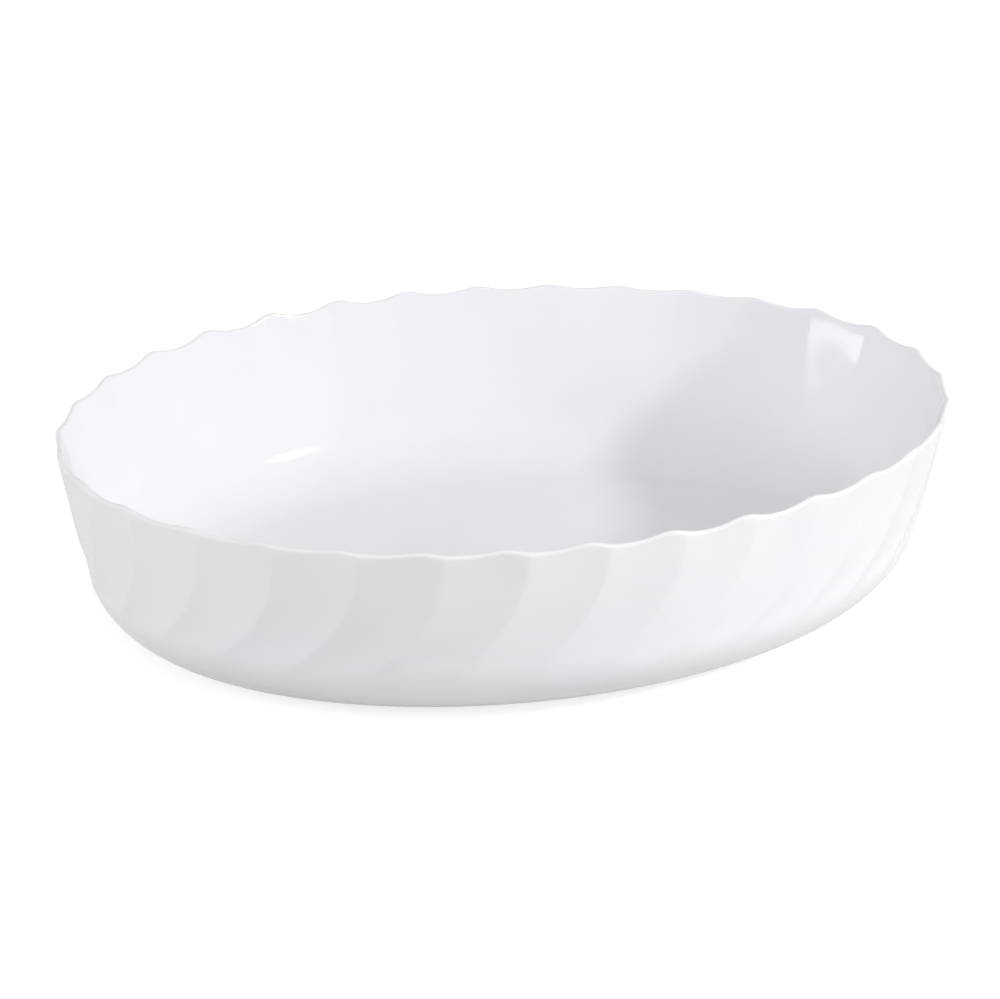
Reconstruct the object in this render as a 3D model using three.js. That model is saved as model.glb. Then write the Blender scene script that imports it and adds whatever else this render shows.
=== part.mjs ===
// Oval baking dish pressed in one piece of white opal glass, with a swirl-fluted wall.
// Frame: origin at the middle of the foot, +X along the length, +Z up, millimetres.

import * as THREE from 'three';

// Driving dimensions: overall size, over the ridges and the highest crest of the rim
const LENGTH = 320;
const WIDTH = 249;
const HEIGHT = 68.8;

// Driving dimensions: glass section, thin at the rim and thicker downwards
const RIM_THICKNESS = 2.2;
const FLOOR = 5;
const OUTER_DRAFT_DEGREES = 12.5;
const INNER_DRAFT_DEGREES = 15.5;
const OUTER_CORNER_RADIUS = 30;
const INNER_CORNER_RADIUS = 26;
const FOOT_BAND = 9;
const FOOT_RECESS = 0.8;

// Driving dimensions: flutes, which are shallow hollow facets that meet at ridges
const FLUTE_COUNT = 33;
const FLUTE_DEPTH = 0.82;
const FLUTE_FULL_HEIGHT = 28;
const FLUTE_END_HEIGHT = 16;
const INNER_FLUTE_DEPTH = 0.3;
const INNER_FLUTE_REACH = 26;
const FIRST_RIDGE_DEGREES = -1.5;
const SWIRL_FLUTES = 1.17;
const SWIRL_POWER = 2.7;

// Driving dimensions: the rim, which rises to a crest near each ridge. Its wave is highest where
// the oval faces one way or the other along the wave's direction, near the middle of a long side.
const RIM_WAVE = 1.45;
const RIM_WAVE_TWOFOLD = 0.2;
const RIM_WAVE_FOURFOLD = 0.4;
const RIM_WAVE_DIRECTION_DEGREES = 100;
const RIM_WAVE_REACH = 24;
const RIM_CREST = 0.89;
const CREST_SHIFT = 0.09;
const CREST_SHARPNESS = 0.18;

// Fineness of the mesh
const COLUMNS_PER_FLUTE = 6;
const WALL_STEPS = 5;
const CORNER_STEPS = 5;
const RIM_STEPS = 4;
const INNER_WALL_STEPS = 3;

const { degToRad, smoothstep, lerp } = THREE.MathUtils;
const HALF_LENGTH = LENGTH / 2;
const HALF_WIDTH = WIDTH / 2;
const RIM_RADIUS = RIM_THICKNESS / 2;
const OUTER_DRAFT = degToRad(OUTER_DRAFT_DEGREES);
const INNER_DRAFT = degToRad(INNER_DRAFT_DEGREES);
const FIRST_RIDGE = degToRad(FIRST_RIDGE_DEGREES);
const RIM_WAVE_DIRECTION = degToRad(RIM_WAVE_DIRECTION_DEGREES);
const LARGEST_WAVE = 1 + RIM_WAVE_TWOFOLD + RIM_WAVE_FOURFOLD;
const DOWN = -Math.PI / 2;

// Turning the ridges by this much of sin(2 x angle) spaces them evenly along the oval.
const RIDGE_EVENING = (HALF_LENGTH - HALF_WIDTH) / (2 * (HALF_LENGTH + HALF_WIDTH));

// The section lies in a plane across the wall. Its x is measured outwards from the rim's outline,
// so it is negative inside, and its y is the height above the table.
const rimCentre = new THREE.Vector2(-RIM_RADIUS, HEIGHT - RIM_RADIUS);

// The middle of a corner whose arc touches a leaning wall face and a level face.
function cornerCentre(draft, wallOffset, level, radius) {
  const wallNormal = new THREE.Vector2(Math.cos(draft), -Math.sin(draft));
  const y = level + radius;
  const reach = rimCentre.dot(wallNormal) + wallOffset - radius;
  return new THREE.Vector2((reach - y * wallNormal.y) / wallNormal.x, y);
}

// Points on an arc, both ends included.
function arc(centre, radius, from, to, steps) {
  const points = [];
  for (let i = 0; i <= steps; i++) {
    const angle = lerp(from, to, i / steps);
    const spoke = new THREE.Vector2(Math.cos(angle), Math.sin(angle)).multiplyScalar(radius);
    points.push(spoke.add(centre));
  }
  return points;
}

// Points strictly between two ends of a straight stretch.
function between(start, end, steps) {
  const points = [];
  for (let i = 1; i < steps; i++) {
    points.push(start.clone().lerp(end, i / steps));
  }
  return points;
}

// How deep a flute is cut into the outer face at a height.
function outerScoop(height) {
  return FLUTE_DEPTH * smoothstep(height, FLUTE_END_HEIGHT, FLUTE_FULL_HEIGHT);
}

// How far the inner face follows the flutes at a height.
function innerScoop(height) {
  return INNER_FLUTE_DEPTH * smoothstep(height, HEIGHT - INNER_FLUTE_REACH, HEIGHT);
}

// How far the ridges have swept back at a height, in flutes.
function swirl(height) {
  const depth = (HEIGHT - height) / (HEIGHT - FLUTE_END_HEIGHT);
  return SWIRL_FLUTES * Math.pow(Math.min(Math.max(depth, 0), 1), SWIRL_POWER);
}

// The section, from the middle of the underside, up the outer face, over the rim and down to the
// middle of the inside floor. Each row knows its scoop, how far its ridges have swept back, and
// how much the wall leans there.
function sectionRows() {
  const outerCorner = cornerCentre(OUTER_DRAFT, RIM_RADIUS, 0, OUTER_CORNER_RADIUS);
  const innerCorner = cornerCentre(INNER_DRAFT, -RIM_RADIUS, FLOOR, INNER_CORNER_RADIUS);
  const outerArc = arc(outerCorner, OUTER_CORNER_RADIUS, DOWN, -OUTER_DRAFT, CORNER_STEPS);
  const rimArc = arc(rimCentre, RIM_RADIUS, -OUTER_DRAFT, Math.PI - INNER_DRAFT, RIM_STEPS);
  const innerArc = arc(innerCorner, INNER_CORNER_RADIUS, -INNER_DRAFT, DOWN, CORNER_STEPS);
  const outerWall = between(outerArc.at(-1), rimArc[0], WALL_STEPS);
  const innerWall = between(rimArc.at(-1), innerArc[0], INNER_WALL_STEPS);
  const footEdge = new THREE.Vector2(outerCorner.x - FOOT_BAND, 0);
  const recessEdge = new THREE.Vector2(footEdge.x - FOOT_RECESS, FOOT_RECESS);
  const outerLean = Math.tan(OUTER_DRAFT);
  const innerLean = Math.tan(INNER_DRAFT);

  const rows = [];
  const addRow = (point, scoop, turn, lean) => rows.push({ point, scoop, turn, lean });
  rows.push({ point: new THREE.Vector2(-HALF_WIDTH, FOOT_RECESS), axis: true });
  for (const point of [recessEdge, footEdge, ...outerArc, ...outerWall]) {
    addRow(point, outerScoop(point.y), swirl(point.y), outerLean);
  }
  rimArc.forEach((point, i) => {
    const share = i / RIM_STEPS;
    const scoop = lerp(outerScoop(point.y), innerScoop(point.y), share);
    addRow(point, scoop, 0, lerp(outerLean, innerLean, share));
  });
  for (const point of [...innerWall, ...innerArc]) {
    addRow(point, innerScoop(point.y), 0, innerLean);
  }
  rows.push({ point: new THREE.Vector2(-HALF_WIDTH, FLOOR), axis: true });
  return rows;
}

// How far the rim lies below its highest crest, at a flute coordinate and a way it faces.
function rimDip(flute, outward) {
  const facing = outward.angle() - RIM_WAVE_DIRECTION;
  const twofold = RIM_WAVE_TWOFOLD * Math.cos(2 * facing);
  const fourfold = RIM_WAVE_FOURFOLD * Math.cos(4 * facing);
  const crest = RIM_CREST + CREST_SHIFT * (Math.sin(2 * facing) + Math.sin(4 * facing));
  const phase = 2 * Math.PI * (flute - crest);
  const rise = (1 + Math.cos(phase) + CREST_SHARPNESS * (Math.cos(2 * phase) - 1)) / 2;
  return RIM_WAVE * (LARGEST_WAVE - (1 + twofold + fourfold) * rise);
}

// A point of the dish: one row of the section, carried round the oval to a flute coordinate that
// is whole at each ridge. Where the rim sinks, it slides down the leaning wall.
function dishPoint(row, flute) {
  if (row.axis) {
    return new THREE.Vector3(0, 0, row.point.y);
  }
  const even = FIRST_RIDGE + ((flute - row.turn) / FLUTE_COUNT) * 2 * Math.PI;
  const angle = even + RIDGE_EVENING * Math.sin(2 * even);
  const outward = new THREE.Vector2(HALF_WIDTH * Math.cos(angle), HALF_LENGTH * Math.sin(angle));
  outward.normalize();
  const follow = smoothstep(row.point.y, HEIGHT - RIM_WAVE_REACH, HEIGHT);
  const drop = rimDip(flute, outward) * follow;
  const share = flute % 1;
  const hollow = row.scoop * 4 * share * (1 - share);
  const plan = new THREE.Vector2(HALF_LENGTH * Math.cos(angle), HALF_WIDTH * Math.sin(angle));
  plan.addScaledVector(outward, row.point.x - row.lean * drop - hollow);
  return new THREE.Vector3(plan.x, plan.y, row.point.y - drop);
}

// The glass: the section turned round as a lathe, then every column moved to its place on the oval.
function dishGeometry() {
  const rows = sectionRows();
  const columns = FLUTE_COUNT * COLUMNS_PER_FLUTE;
  const profile = rows.map((row) => new THREE.Vector2(HALF_WIDTH + row.point.x, row.point.y));
  const geometry = new THREE.LatheGeometry(profile, columns);
  const position = geometry.getAttribute('position');
  for (let column = 0; column <= columns; column++) {
    rows.forEach((row, i) => {
      const place = dishPoint(row, (column % columns) / COLUMNS_PER_FLUTE);
      position.setXYZ(column * rows.length + i, place.x, place.y, place.z);
    });
  }
  geometry.computeVertexNormals();
  return geometry;
}

const opalGlass = new THREE.MeshStandardMaterial({
  color: 0xf0f1f5,
  roughness: 0.08,
  metalness: 0,
});

const dish = new THREE.Mesh(dishGeometry(), opalGlass);
dish.name = 'dish';

const bakingDish = new THREE.Group();
bakingDish.add(dish);

export default bakingDish;
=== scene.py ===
# %% [markdown]
# A baking dish in white opal glass
#
# The real dish is one piece of pressed glass: a deep oval with leaning walls, hollow flutes that
# swirl round the outside, a thin scalloped rim and a flat foot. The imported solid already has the
# right size and form, but only a few faces in each flute. This lesson loads that solid as a fixed
# frame, models the same glass again with many more faces, and gives it its milky, fire-polished
# finish, a pale floor and soft light.

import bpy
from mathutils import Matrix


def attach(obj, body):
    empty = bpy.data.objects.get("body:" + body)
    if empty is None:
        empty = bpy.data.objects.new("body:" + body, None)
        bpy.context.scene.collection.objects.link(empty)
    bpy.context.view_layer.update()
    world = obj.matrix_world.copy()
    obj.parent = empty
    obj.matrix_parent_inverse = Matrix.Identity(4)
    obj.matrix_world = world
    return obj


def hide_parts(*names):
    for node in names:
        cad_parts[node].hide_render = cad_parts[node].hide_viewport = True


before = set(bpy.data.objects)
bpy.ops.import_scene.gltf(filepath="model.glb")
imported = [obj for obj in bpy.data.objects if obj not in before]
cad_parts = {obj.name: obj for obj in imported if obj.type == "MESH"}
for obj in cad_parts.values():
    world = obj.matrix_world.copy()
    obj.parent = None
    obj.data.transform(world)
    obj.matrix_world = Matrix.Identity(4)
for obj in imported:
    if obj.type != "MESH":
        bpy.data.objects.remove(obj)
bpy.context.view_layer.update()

# %% [markdown]
# The camera comes first, because every later choice is judged through it. A camera can be aimed
# with a constraint, but here its three axes are written straight into its matrix: one axis points
# back from the dish to the lens, one to the right and one up. The long lens and the distance of
# about 1.4 metres keep the near and far rims almost equally large.

# %% Place the camera
import math

import bpy
from mathutils import Matrix, Quaternion, Vector

IMAGE_WIDTH = 1000
FOCAL_PIXELS = 3940
VIEW_AZIMUTH = math.radians(-25.79)
VIEW_ELEVATION = math.radians(22.06)
VIEW_ROLL = math.radians(0.71)
VIEW_DISTANCE = 1.3805
VIEW_RIGHT = -0.0032
VIEW_UP = 0.0308


def direction(azimuth, elevation):
    """A unit vector; azimuth 0 points to -Y, the front of the dish, and +90 degrees to +X."""
    level = math.cos(elevation)
    return Vector((math.sin(azimuth) * level, -math.cos(azimuth) * level, math.sin(elevation)))


back = direction(VIEW_AZIMUTH, VIEW_ELEVATION)
right = Vector((math.cos(VIEW_AZIMUTH), math.sin(VIEW_AZIMUTH), 0))
up = back.cross(right)
lens_place = back * VIEW_DISTANCE + right * VIEW_RIGHT + up * VIEW_UP
rolled_right = right * math.cos(VIEW_ROLL) + up * math.sin(VIEW_ROLL)
rolled_up = back.cross(rolled_right)

camera_data = bpy.data.cameras.new("camera")
camera_data.sensor_fit = "HORIZONTAL"
camera_data.lens = camera_data.sensor_width * FOCAL_PIXELS / IMAGE_WIDTH
camera = bpy.data.objects.new("camera", camera_data)
camera.matrix_world = Matrix((rolled_right, rolled_up, back)).transposed().to_4x4()
camera.matrix_world.translation = lens_place
bpy.context.scene.collection.objects.link(camera)
bpy.context.scene.camera = camera
print("lens in millimetres:", round(camera_data.lens, 1), "place:", tuple(lens_place))

# %% [markdown]
# The section is the shape that a saw cut across the wall would show: foot, outer corner, leaning
# wall, half-round rim, inner wall, inner corner and floor. The inner face leans more than the
# outer one, so the glass is thin at the rim and grows thicker downwards, which lets the press
# plunger come out. The section could be drawn as a curve, but the flutes change from row to row,
# so it is kept as a list of rows. A row knows how far it lies out from the rim's outline, its
# height, how deep the flutes are cut there, how far the ridges have swept back, and its lean.

# %% Sizes of the glass
MM = 0.001

HALF_LENGTH = 160 * MM
HALF_WIDTH = 124.5 * MM
HEIGHT = 68.8 * MM
RIM_THICKNESS = 2.2 * MM
FLOOR = 5 * MM
OUTER_DRAFT = math.radians(12.5)
INNER_DRAFT = math.radians(15.5)
OUTER_CORNER = 30 * MM
INNER_CORNER = 26 * MM
FOOT_BAND = 9 * MM
FOOT_RECESS = 0.8 * MM
FOOT_EDGE = 0.4 * MM

FLUTES = 33
FIRST_RIDGE = math.radians(-1.5)
FLUTE_DEPTH = 0.82 * MM
FLUTE_FULL_HEIGHT = 28 * MM
FLUTE_END_HEIGHT = 16 * MM
INNER_FLUTE_DEPTH = 0.3 * MM
INNER_FLUTE_REACH = 26 * MM
RIDGE_ROUNDING = 0.09
SWIRL_FLUTES = 1.17
SWIRL_POWER = 2.7

RIM_WAVE = 1.45 * MM
RIM_WAVE_TWOFOLD = 0.2
RIM_WAVE_FOURFOLD = 0.4
RIM_WAVE_DIRECTION = math.radians(100)
RIM_WAVE_REACH = 24 * MM
RIM_CREST = 0.89
CREST_SHIFT = 0.09
CREST_SHARPNESS = 0.18

print("dish of", FLUTES, "flutes,", 2 * HALF_LENGTH, "x", 2 * HALF_WIDTH, "x", HEIGHT, "m")

# %% Corners and straight stretches
RIM_RADIUS = RIM_THICKNESS / 2

rim_centre = Vector((-RIM_RADIUS, HEIGHT - RIM_RADIUS))


def smooth_step(value, low, high):
    """0 below low, 1 above high, and a soft S between them."""
    share = min(max((value - low) / (high - low), 0), 1)
    return share * share * (3 - 2 * share)


def corner_centre(draft, wall_offset, level, radius):
    """The middle of an arc that touches a leaning wall face and a level face."""
    normal = Vector((math.cos(draft), -math.sin(draft)))
    height = level + radius
    reach = rim_centre.dot(normal) + wall_offset - radius
    return Vector(((reach - height * normal.y) / normal.x, height))


def arc(centre, radius, start, end, steps):
    """Points on an arc, both ends included."""
    angles = [start + (end - start) * i / steps for i in range(steps + 1)]
    return [centre + radius * Vector((math.cos(a), math.sin(a))) for a in angles]


def between(start, end, steps):
    """Points strictly between the ends of a straight stretch."""
    return [start.lerp(end, i / steps) for i in range(1, steps)]


print("middle of the rim's half-round, outwards and up:", tuple(rim_centre))


# %% Flutes by height
def outer_scoop(height):
    """How deep the flutes are cut into the outer face at a height."""
    return FLUTE_DEPTH * smooth_step(height, FLUTE_END_HEIGHT, FLUTE_FULL_HEIGHT)


def inner_scoop(height):
    """How far the inner face follows the flutes at a height."""
    return INNER_FLUTE_DEPTH * smooth_step(height, HEIGHT - INNER_FLUTE_REACH, HEIGHT)


def swirl(height):
    """How far the ridges have swept back at a height, counted in flutes."""
    depth = (HEIGHT - height) / (HEIGHT - FLUTE_END_HEIGHT)
    return SWIRL_FLUTES * min(max(depth, 0), 1) ** SWIRL_POWER


half_way = HEIGHT / 2
print("half way up, flutes are", outer_scoop(half_way), "m deep, swept by", swirl(half_way))

# %% Rows of the section
DOWN = -math.pi / 2
CORNER_STEPS = 16
WALL_STEPS = 20
RIM_STEPS = 12
INNER_STEPS = 14


def section_rows():
    """Rows of (point, scoop, turn, lean) from the underside, over the rim, to the floor."""
    outer_corner = corner_centre(OUTER_DRAFT, RIM_RADIUS, 0, OUTER_CORNER)
    inner_corner = corner_centre(INNER_DRAFT, -RIM_RADIUS, FLOOR, INNER_CORNER)
    outer_arc = arc(outer_corner, OUTER_CORNER, DOWN, -OUTER_DRAFT, CORNER_STEPS)
    rim_arc = arc(rim_centre, RIM_RADIUS, -OUTER_DRAFT, math.pi - INNER_DRAFT, RIM_STEPS)
    inner_arc = arc(inner_corner, INNER_CORNER, -INNER_DRAFT, DOWN, CORNER_STEPS)
    outer_wall = between(outer_arc[-1], rim_arc[0], WALL_STEPS)
    inner_wall = between(rim_arc[-1], inner_arc[0], INNER_STEPS)

    # The step from the recess down to the foot band, with its edge eased
    foot_inner = Vector((outer_corner.x - FOOT_BAND, 0))
    underside = [
        foot_inner + Vector((-4 * FOOT_EDGE, FOOT_RECESS)),
        foot_inner + Vector((-2 * FOOT_EDGE, FOOT_RECESS)),
        foot_inner + Vector((-FOOT_EDGE, FOOT_RECESS / 2)),
        foot_inner,
        foot_inner + Vector((FOOT_EDGE, 0)),
    ]

    outer_lean = math.tan(OUTER_DRAFT)
    inner_lean = math.tan(INNER_DRAFT)
    rows = []
    for point in underside + outer_arc + outer_wall:
        rows.append((point, outer_scoop(point.y), swirl(point.y), outer_lean))
    for i, point in enumerate(rim_arc):
        share = i / RIM_STEPS
        scoop = outer_scoop(point.y) * (1 - share) + inner_scoop(point.y) * share
        rows.append((point, scoop, 0, outer_lean * (1 - share) + inner_lean * share))
    for point in inner_wall + inner_arc:
        rows.append((point, inner_scoop(point.y), 0, inner_lean))
    return rows


rows = section_rows()
print("rows in the section:", len(rows))

# %% [markdown]
# Now the section is carried round the oval. A screw or array modifier would do for a round bowl,
# but here each row turns by its own amount to make the swirl, so every point is worked out from a
# formula. A flute coordinate counts along the rim: it is whole at each ridge. Between two ridges
# the wall is scooped in by a shallow parabola, so each flute reads as an almost flat facet, and
# the ridge itself is rounded a little, as pressed glass always is. The rim rises to a crest near
# each ridge, and higher in the middle of the long sides than where the oval rounds. Between the
# crests it slides down the leaning wall, so that the wall stays smooth. Columns crowd together
# near the ridges, where the surface turns fastest.

# %% Columns and the hollow of a flute
COLUMNS_PER_FLUTE = 20
CROWDING = 0.55


def flute_coordinates():
    """Places of all columns round the rim, crowded towards the ridges."""
    places = []
    for flute in range(FLUTES):
        for i in range(COLUMNS_PER_FLUTE):
            even = i / COLUMNS_PER_FLUTE
            crowded = (1 - math.cos(math.pi * even)) / 2
            places.append(flute + even + CROWDING * (crowded - even))
    return places


def scoop_shape(flute):
    """0 on a ridge and 1 in the middle of a flute, with the ridge rounded over."""
    share = flute % 1
    hollow = 4 * share * (1 - share)
    deepest = math.hypot(1, RIDGE_ROUNDING) - RIDGE_ROUNDING
    return (math.hypot(hollow, RIDGE_ROUNDING) - RIDGE_ROUNDING) / deepest


columns = flute_coordinates()
print("columns round the rim:", len(columns))

# %% Wave of the rim and points of the dish
RIDGE_EVENING = (HALF_LENGTH - HALF_WIDTH) / (2 * (HALF_LENGTH + HALF_WIDTH))


def rim_dip(flute, outward):
    """How far the rim lies below its highest crest, at a flute coordinate and a way it faces."""
    facing = math.atan2(outward.y, outward.x) - RIM_WAVE_DIRECTION
    size = 1 + RIM_WAVE_TWOFOLD * math.cos(2 * facing) + RIM_WAVE_FOURFOLD * math.cos(4 * facing)
    largest = 1 + RIM_WAVE_TWOFOLD + RIM_WAVE_FOURFOLD
    crest = RIM_CREST + CREST_SHIFT * (math.sin(2 * facing) + math.sin(4 * facing))
    phase = 2 * math.pi * (flute - crest)
    rise = (1 + math.cos(phase) + CREST_SHARPNESS * (math.cos(2 * phase) - 1)) / 2
    return RIM_WAVE * (largest - size * rise)


def dish_point(row, flute):
    """The place in metres of one row of the section at one flute coordinate."""
    point, scoop, turn, lean = row
    even = FIRST_RIDGE + (flute - turn) / FLUTES * 2 * math.pi
    angle = even + RIDGE_EVENING * math.sin(2 * even)
    outward = Vector((HALF_WIDTH * math.cos(angle), HALF_LENGTH * math.sin(angle))).normalized()
    drop = rim_dip(flute, outward) * smooth_step(point.y, HEIGHT - RIM_WAVE_REACH, HEIGHT)
    plan = Vector((HALF_LENGTH * math.cos(angle), HALF_WIDTH * math.sin(angle)))
    plan += outward * (point.x - lean * drop - scoop * scoop_shape(flute))
    return Vector((plan.x, plan.y, point.y - drop))


rings = [[dish_point(row, flute) for flute in columns] for row in rows]
print("highest crest in metres:", max(point.z for ring in rings for point in ring))

# %% Mesh of the dish
FLOOR_STEPS = 4


def dish_mesh(rings):
    """One closed skin: the rings in a grid, with a flat middle under and inside."""
    grid = list(rings)
    under_middle = Vector((0, 0, FOOT_RECESS))
    inside_middle = Vector((0, 0, FLOOR))
    for left in range(FLOOR_STEPS, 1, -1):
        grid.insert(0, [point.lerp(under_middle, 1 / left) for point in grid[0]])
        grid.append([point.lerp(inside_middle, 1 / left) for point in grid[-1]])
    count = len(grid[0])
    points = [point for ring in grid for point in ring]
    points += [under_middle, inside_middle]
    last = (len(grid) - 1) * count
    faces = []
    for c in range(count):
        after = (c + 1) % count
        for low in range(0, last, count):
            high = low + count
            faces.append((low + c, low + after, high + after, high + c))
        faces.append((len(points) - 2, after, c))
        faces.append((last + c, last + after, len(points) - 1))
    mesh = bpy.data.meshes.new("glass_dish")
    mesh.from_pydata(points, [], faces)
    mesh.shade_smooth()
    return mesh


glass_dish = bpy.data.objects.new("glass_dish", dish_mesh(rings))
bpy.context.scene.collection.objects.link(glass_dish)
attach(glass_dish, "root")
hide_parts("dish")
print("glass_dish:", len(glass_dish.data.polygons), "faces")

# %% [markdown]
# Opal glass is clear glass filled with tiny crystals, so it is white all through: light goes a few
# millimetres in and comes out again, while the fire-polished skin stays as glossy as a window. A
# transmission shader would let the floor show through, so the milk is a Principled shader with
# some subsurface scattering. Pressed glass is never quite even: noise gives it faint clouds in the
# milk, a slow ripple from the mould, and patches that are a touch less polished.

# %% Opal glass
MILK_THIN = (0.852, 0.856, 0.883, 1)
MILK_DENSE = (0.882, 0.886, 0.913, 1)
CLOUD_SCALE = 22
CLOUD_DETAIL = 4
CLOUD_RANGE = (0.3, 0.7)
POLISH_SCALE = 55
POLISH_DETAIL = 5
POLISH_RANGE = (0.05, 0.11)
RIPPLE_SCALE = 34
RIPPLE_DETAIL = 1
RIPPLE_DEPTH = 0.06 * MM
GLASS_IOR = 1.5
SCATTER_SHARE = 0.3
SCATTER_DEPTH = 3 * MM
SCATTER_COLOURS = (1, 1, 1)


def noise_node(nodes, scale, detail):
    """Soft noise, with features of about 1 / scale metres."""
    node = nodes.new("ShaderNodeTexNoise")
    node.inputs["Scale"].default_value = scale
    node.inputs["Detail"].default_value = detail
    return node


def opal_glass():
    """Milky glass with a glossy skin, faint clouds, a slow ripple and uneven polish."""
    material = bpy.data.materials.new("opal_glass")
    material.use_nodes = True
    nodes = material.node_tree.nodes
    link = material.node_tree.links.new
    shader = nodes["Principled BSDF"]
    place = nodes.new("ShaderNodeTexCoord").outputs["Object"]

    clouds = noise_node(nodes, CLOUD_SCALE, CLOUD_DETAIL)
    milk = nodes.new("ShaderNodeValToRGB")
    thin, dense = milk.color_ramp.elements
    thin.position, dense.position = CLOUD_RANGE
    thin.color = MILK_THIN
    dense.color = MILK_DENSE
    link(place, clouds.inputs["Vector"])
    link(clouds.outputs["Fac"], milk.inputs["Fac"])
    link(milk.outputs["Color"], shader.inputs["Base Color"])

    polish = noise_node(nodes, POLISH_SCALE, POLISH_DETAIL)
    gloss = nodes.new("ShaderNodeMapRange")
    for name, roughness in zip(("To Min", "To Max"), POLISH_RANGE):
        gloss.inputs[name].default_value = roughness
    link(place, polish.inputs["Vector"])
    link(polish.outputs["Fac"], gloss.inputs["Value"])
    link(gloss.outputs["Result"], shader.inputs["Roughness"])

    ripple = noise_node(nodes, RIPPLE_SCALE, RIPPLE_DETAIL)
    bump = nodes.new("ShaderNodeBump")
    bump.inputs["Distance"].default_value = RIPPLE_DEPTH
    link(place, ripple.inputs["Vector"])
    link(ripple.outputs["Fac"], bump.inputs["Height"])
    link(bump.outputs["Normal"], shader.inputs["Normal"])

    shader.inputs["IOR"].default_value = GLASS_IOR
    shader.inputs["Subsurface Weight"].default_value = SCATTER_SHARE
    shader.inputs["Subsurface Radius"].default_value = SCATTER_COLOURS
    shader.inputs["Subsurface Scale"].default_value = SCATTER_DEPTH
    return material


glass_dish.data.materials.append(opal_glass())
print("finish:", glass_dish.active_material.name)

# %% [markdown]
# The dish stands on a plain white sweep. A white floor that is only lit would look grey, and more
# light would burn out the white glass. So the floor answers rays from the camera with part of its
# own white added to its lit colour: it reads as white paper, and it still darkens where the dish
# shades it. Rays mirrored by the glass get a share of that white, which keeps the outline of the
# dish apart from the background. All other rays meet an ordinary pale floor.

# %% Which rays see white
MIRROR_SHARE = 0.55


def seen_share(tree):
    """1 for rays from the camera or through glass, MIRROR_SHARE for reflections, else 0."""
    path = tree.nodes.new("ShaderNodeLightPath")
    mirrored = tree.nodes.new("ShaderNodeMath")
    mirrored.operation = "MULTIPLY"
    mirrored.inputs[1].default_value = MIRROR_SHARE
    tree.links.new(path.outputs["Is Glossy Ray"], mirrored.inputs[0])
    total = mirrored.outputs["Value"]
    for name in ("Is Camera Ray", "Is Transmission Ray"):
        larger = tree.nodes.new("ShaderNodeMath")
        larger.operation = "MAXIMUM"
        tree.links.new(total, larger.inputs[0])
        tree.links.new(path.outputs[name], larger.inputs[1])
        total = larger.outputs["Value"]
    return total


print("share of white in reflections:", MIRROR_SHARE)

# %% Floor
FLOOR_SIZE = 8
FLOOR_PALE = (0.7, 0.7, 0.7, 1)
FLOOR_SHOWN = (0.36, 0.36, 0.364, 1)
FLOOR_GLOW = 0.78
WHITE = (1, 1, 1, 1)


def floor_finish():
    """White paper: a lit colour with a glow where it is seen, and a pale colour elsewhere."""
    material = bpy.data.materials.new("white_paper")
    material.use_nodes = True
    tree = material.node_tree
    tree.nodes.remove(tree.nodes["Principled BSDF"])
    lit = tree.nodes.new("ShaderNodeBsdfDiffuse")
    lit.inputs["Color"].default_value = FLOOR_PALE
    shown = tree.nodes.new("ShaderNodeBsdfDiffuse")
    shown.inputs["Color"].default_value = FLOOR_SHOWN
    glow = tree.nodes.new("ShaderNodeEmission")
    glow.inputs["Color"].default_value = WHITE
    glow.inputs["Strength"].default_value = FLOOR_GLOW
    both = tree.nodes.new("ShaderNodeAddShader")
    choice = tree.nodes.new("ShaderNodeMixShader")
    tree.links.new(shown.outputs["BSDF"], both.inputs[0])
    tree.links.new(glow.outputs["Emission"], both.inputs[1])
    tree.links.new(seen_share(tree), choice.inputs["Fac"])
    tree.links.new(lit.outputs["BSDF"], choice.inputs[1])
    tree.links.new(both.outputs["Shader"], choice.inputs[2])
    tree.links.new(choice.outputs["Shader"], tree.nodes["Material Output"].inputs["Surface"])
    return material


floor_mesh = bpy.data.meshes.new("floor")
half = FLOOR_SIZE / 2
corners = [(-half, -half, 0), (half, -half, 0), (half, half, 0), (-half, half, 0)]
floor_mesh.from_pydata(corners, [], [(0, 1, 2, 3)])
floor = bpy.data.objects.new("floor", floor_mesh)
bpy.context.scene.collection.objects.link(floor)
floor.data.materials.append(floor_finish())
print("floor:", FLOOR_SIZE, "m square, finish:", floor.active_material.name)

# %% Room
ROOM_LIGHT = 0.45
ROOM_WHITE = 1

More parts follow.
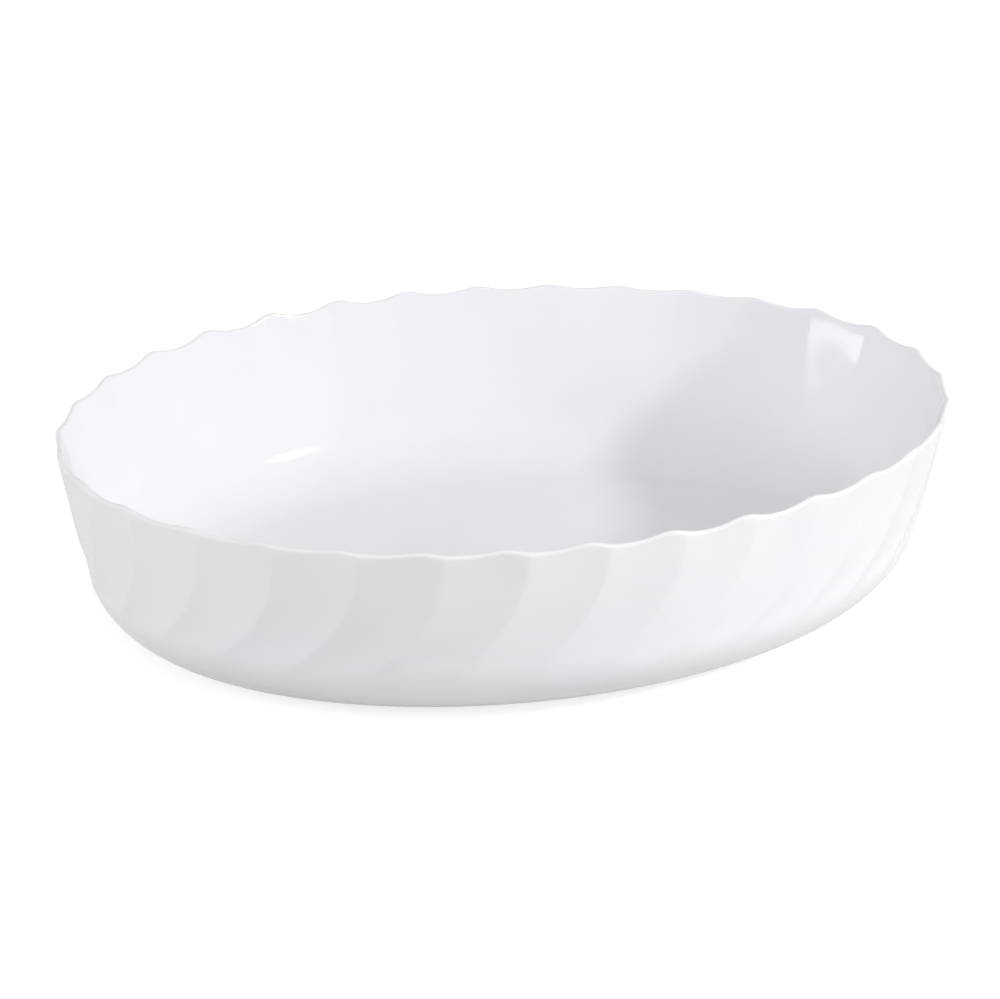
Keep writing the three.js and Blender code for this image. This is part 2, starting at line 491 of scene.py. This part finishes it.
world = bpy.data.worlds.new("white_room")
bpy.context.scene.world = world
world.use_nodes = True
room = world.node_tree.nodes["Background"]
room.inputs["Color"].default_value = WHITE
strength = world.node_tree.nodes.new("ShaderNodeMapRange")
strength.inputs["To Min"].default_value = ROOM_LIGHT
strength.inputs["To Max"].default_value = ROOM_WHITE
world.node_tree.links.new(seen_share(world.node_tree), strength.inputs["Value"])
world.node_tree.links.new(strength.outputs["Result"], room.inputs["Strength"])
print("room light:", ROOM_LIGHT, "and as background:", ROOM_WHITE)

# %% [markdown]
# Four soft boxes stand round the dish. The key box shines from the front right and above: it
# brightens the right of the outside and the left of the inside, and lets the front wall shade the
# floor behind it. The side window is a low, wide slot of light on the left, which shows as a clean
# bright patch in the far wall. Both are meant to be mirrored, and area lamps are used because their
# shape is what a glossy surface shows. The two fills only soften the shade in front and on the
# left. They are hidden from glossy rays, so they leave no bands of light in the inner corner.

# %% Lamps
LAMP_AIM = Vector((0, 0, HEIGHT / 2))


def soft_box(name, place, distance, size, watts, tilt=0):
    """An area lamp that faces the dish; place is azimuth and elevation, size width and height."""
    data = bpy.data.lights.new(name, "AREA")
    data.shape = "RECTANGLE"
    data.size, data.size_y = size
    data.energy = watts
    lamp = bpy.data.objects.new(name, data)
    toward = direction(*map(math.radians, place))
    lamp.location = LAMP_AIM + toward * distance
    facing = toward.to_track_quat("Z", "Y") @ Quaternion((0, 0, 1), math.radians(tilt))
    lamp.rotation_euler = facing.to_euler()
    bpy.context.scene.collection.objects.link(lamp)
    return lamp


key_box = soft_box("key_box", place=(50.5, 27.2), distance=1.4, size=(0.14, 0.12), watts=8.4)
side_window = soft_box(
    "side_window", place=(-109, 6.6), distance=1.2, size=(0.5, 0.05), watts=0.29, tilt=10
)
front_fill = soft_box("front_fill", place=(-9, 35), distance=1.5, size=(1.6, 0.8), watts=6.8)
side_fill = soft_box("side_fill", place=(-106, 17), distance=1.4, size=(0.5, 0.4), watts=5.2)
for fill in (front_fill, side_fill):
    fill.visible_glossy = False
print("lamps:", key_box.name, side_window.name, front_fill.name, side_fill.name)

# %% [markdown]
# The colours are meant to come out as they are written, so the view transform is Standard.

bpy.context.scene.view_settings.view_transform = "Standard"
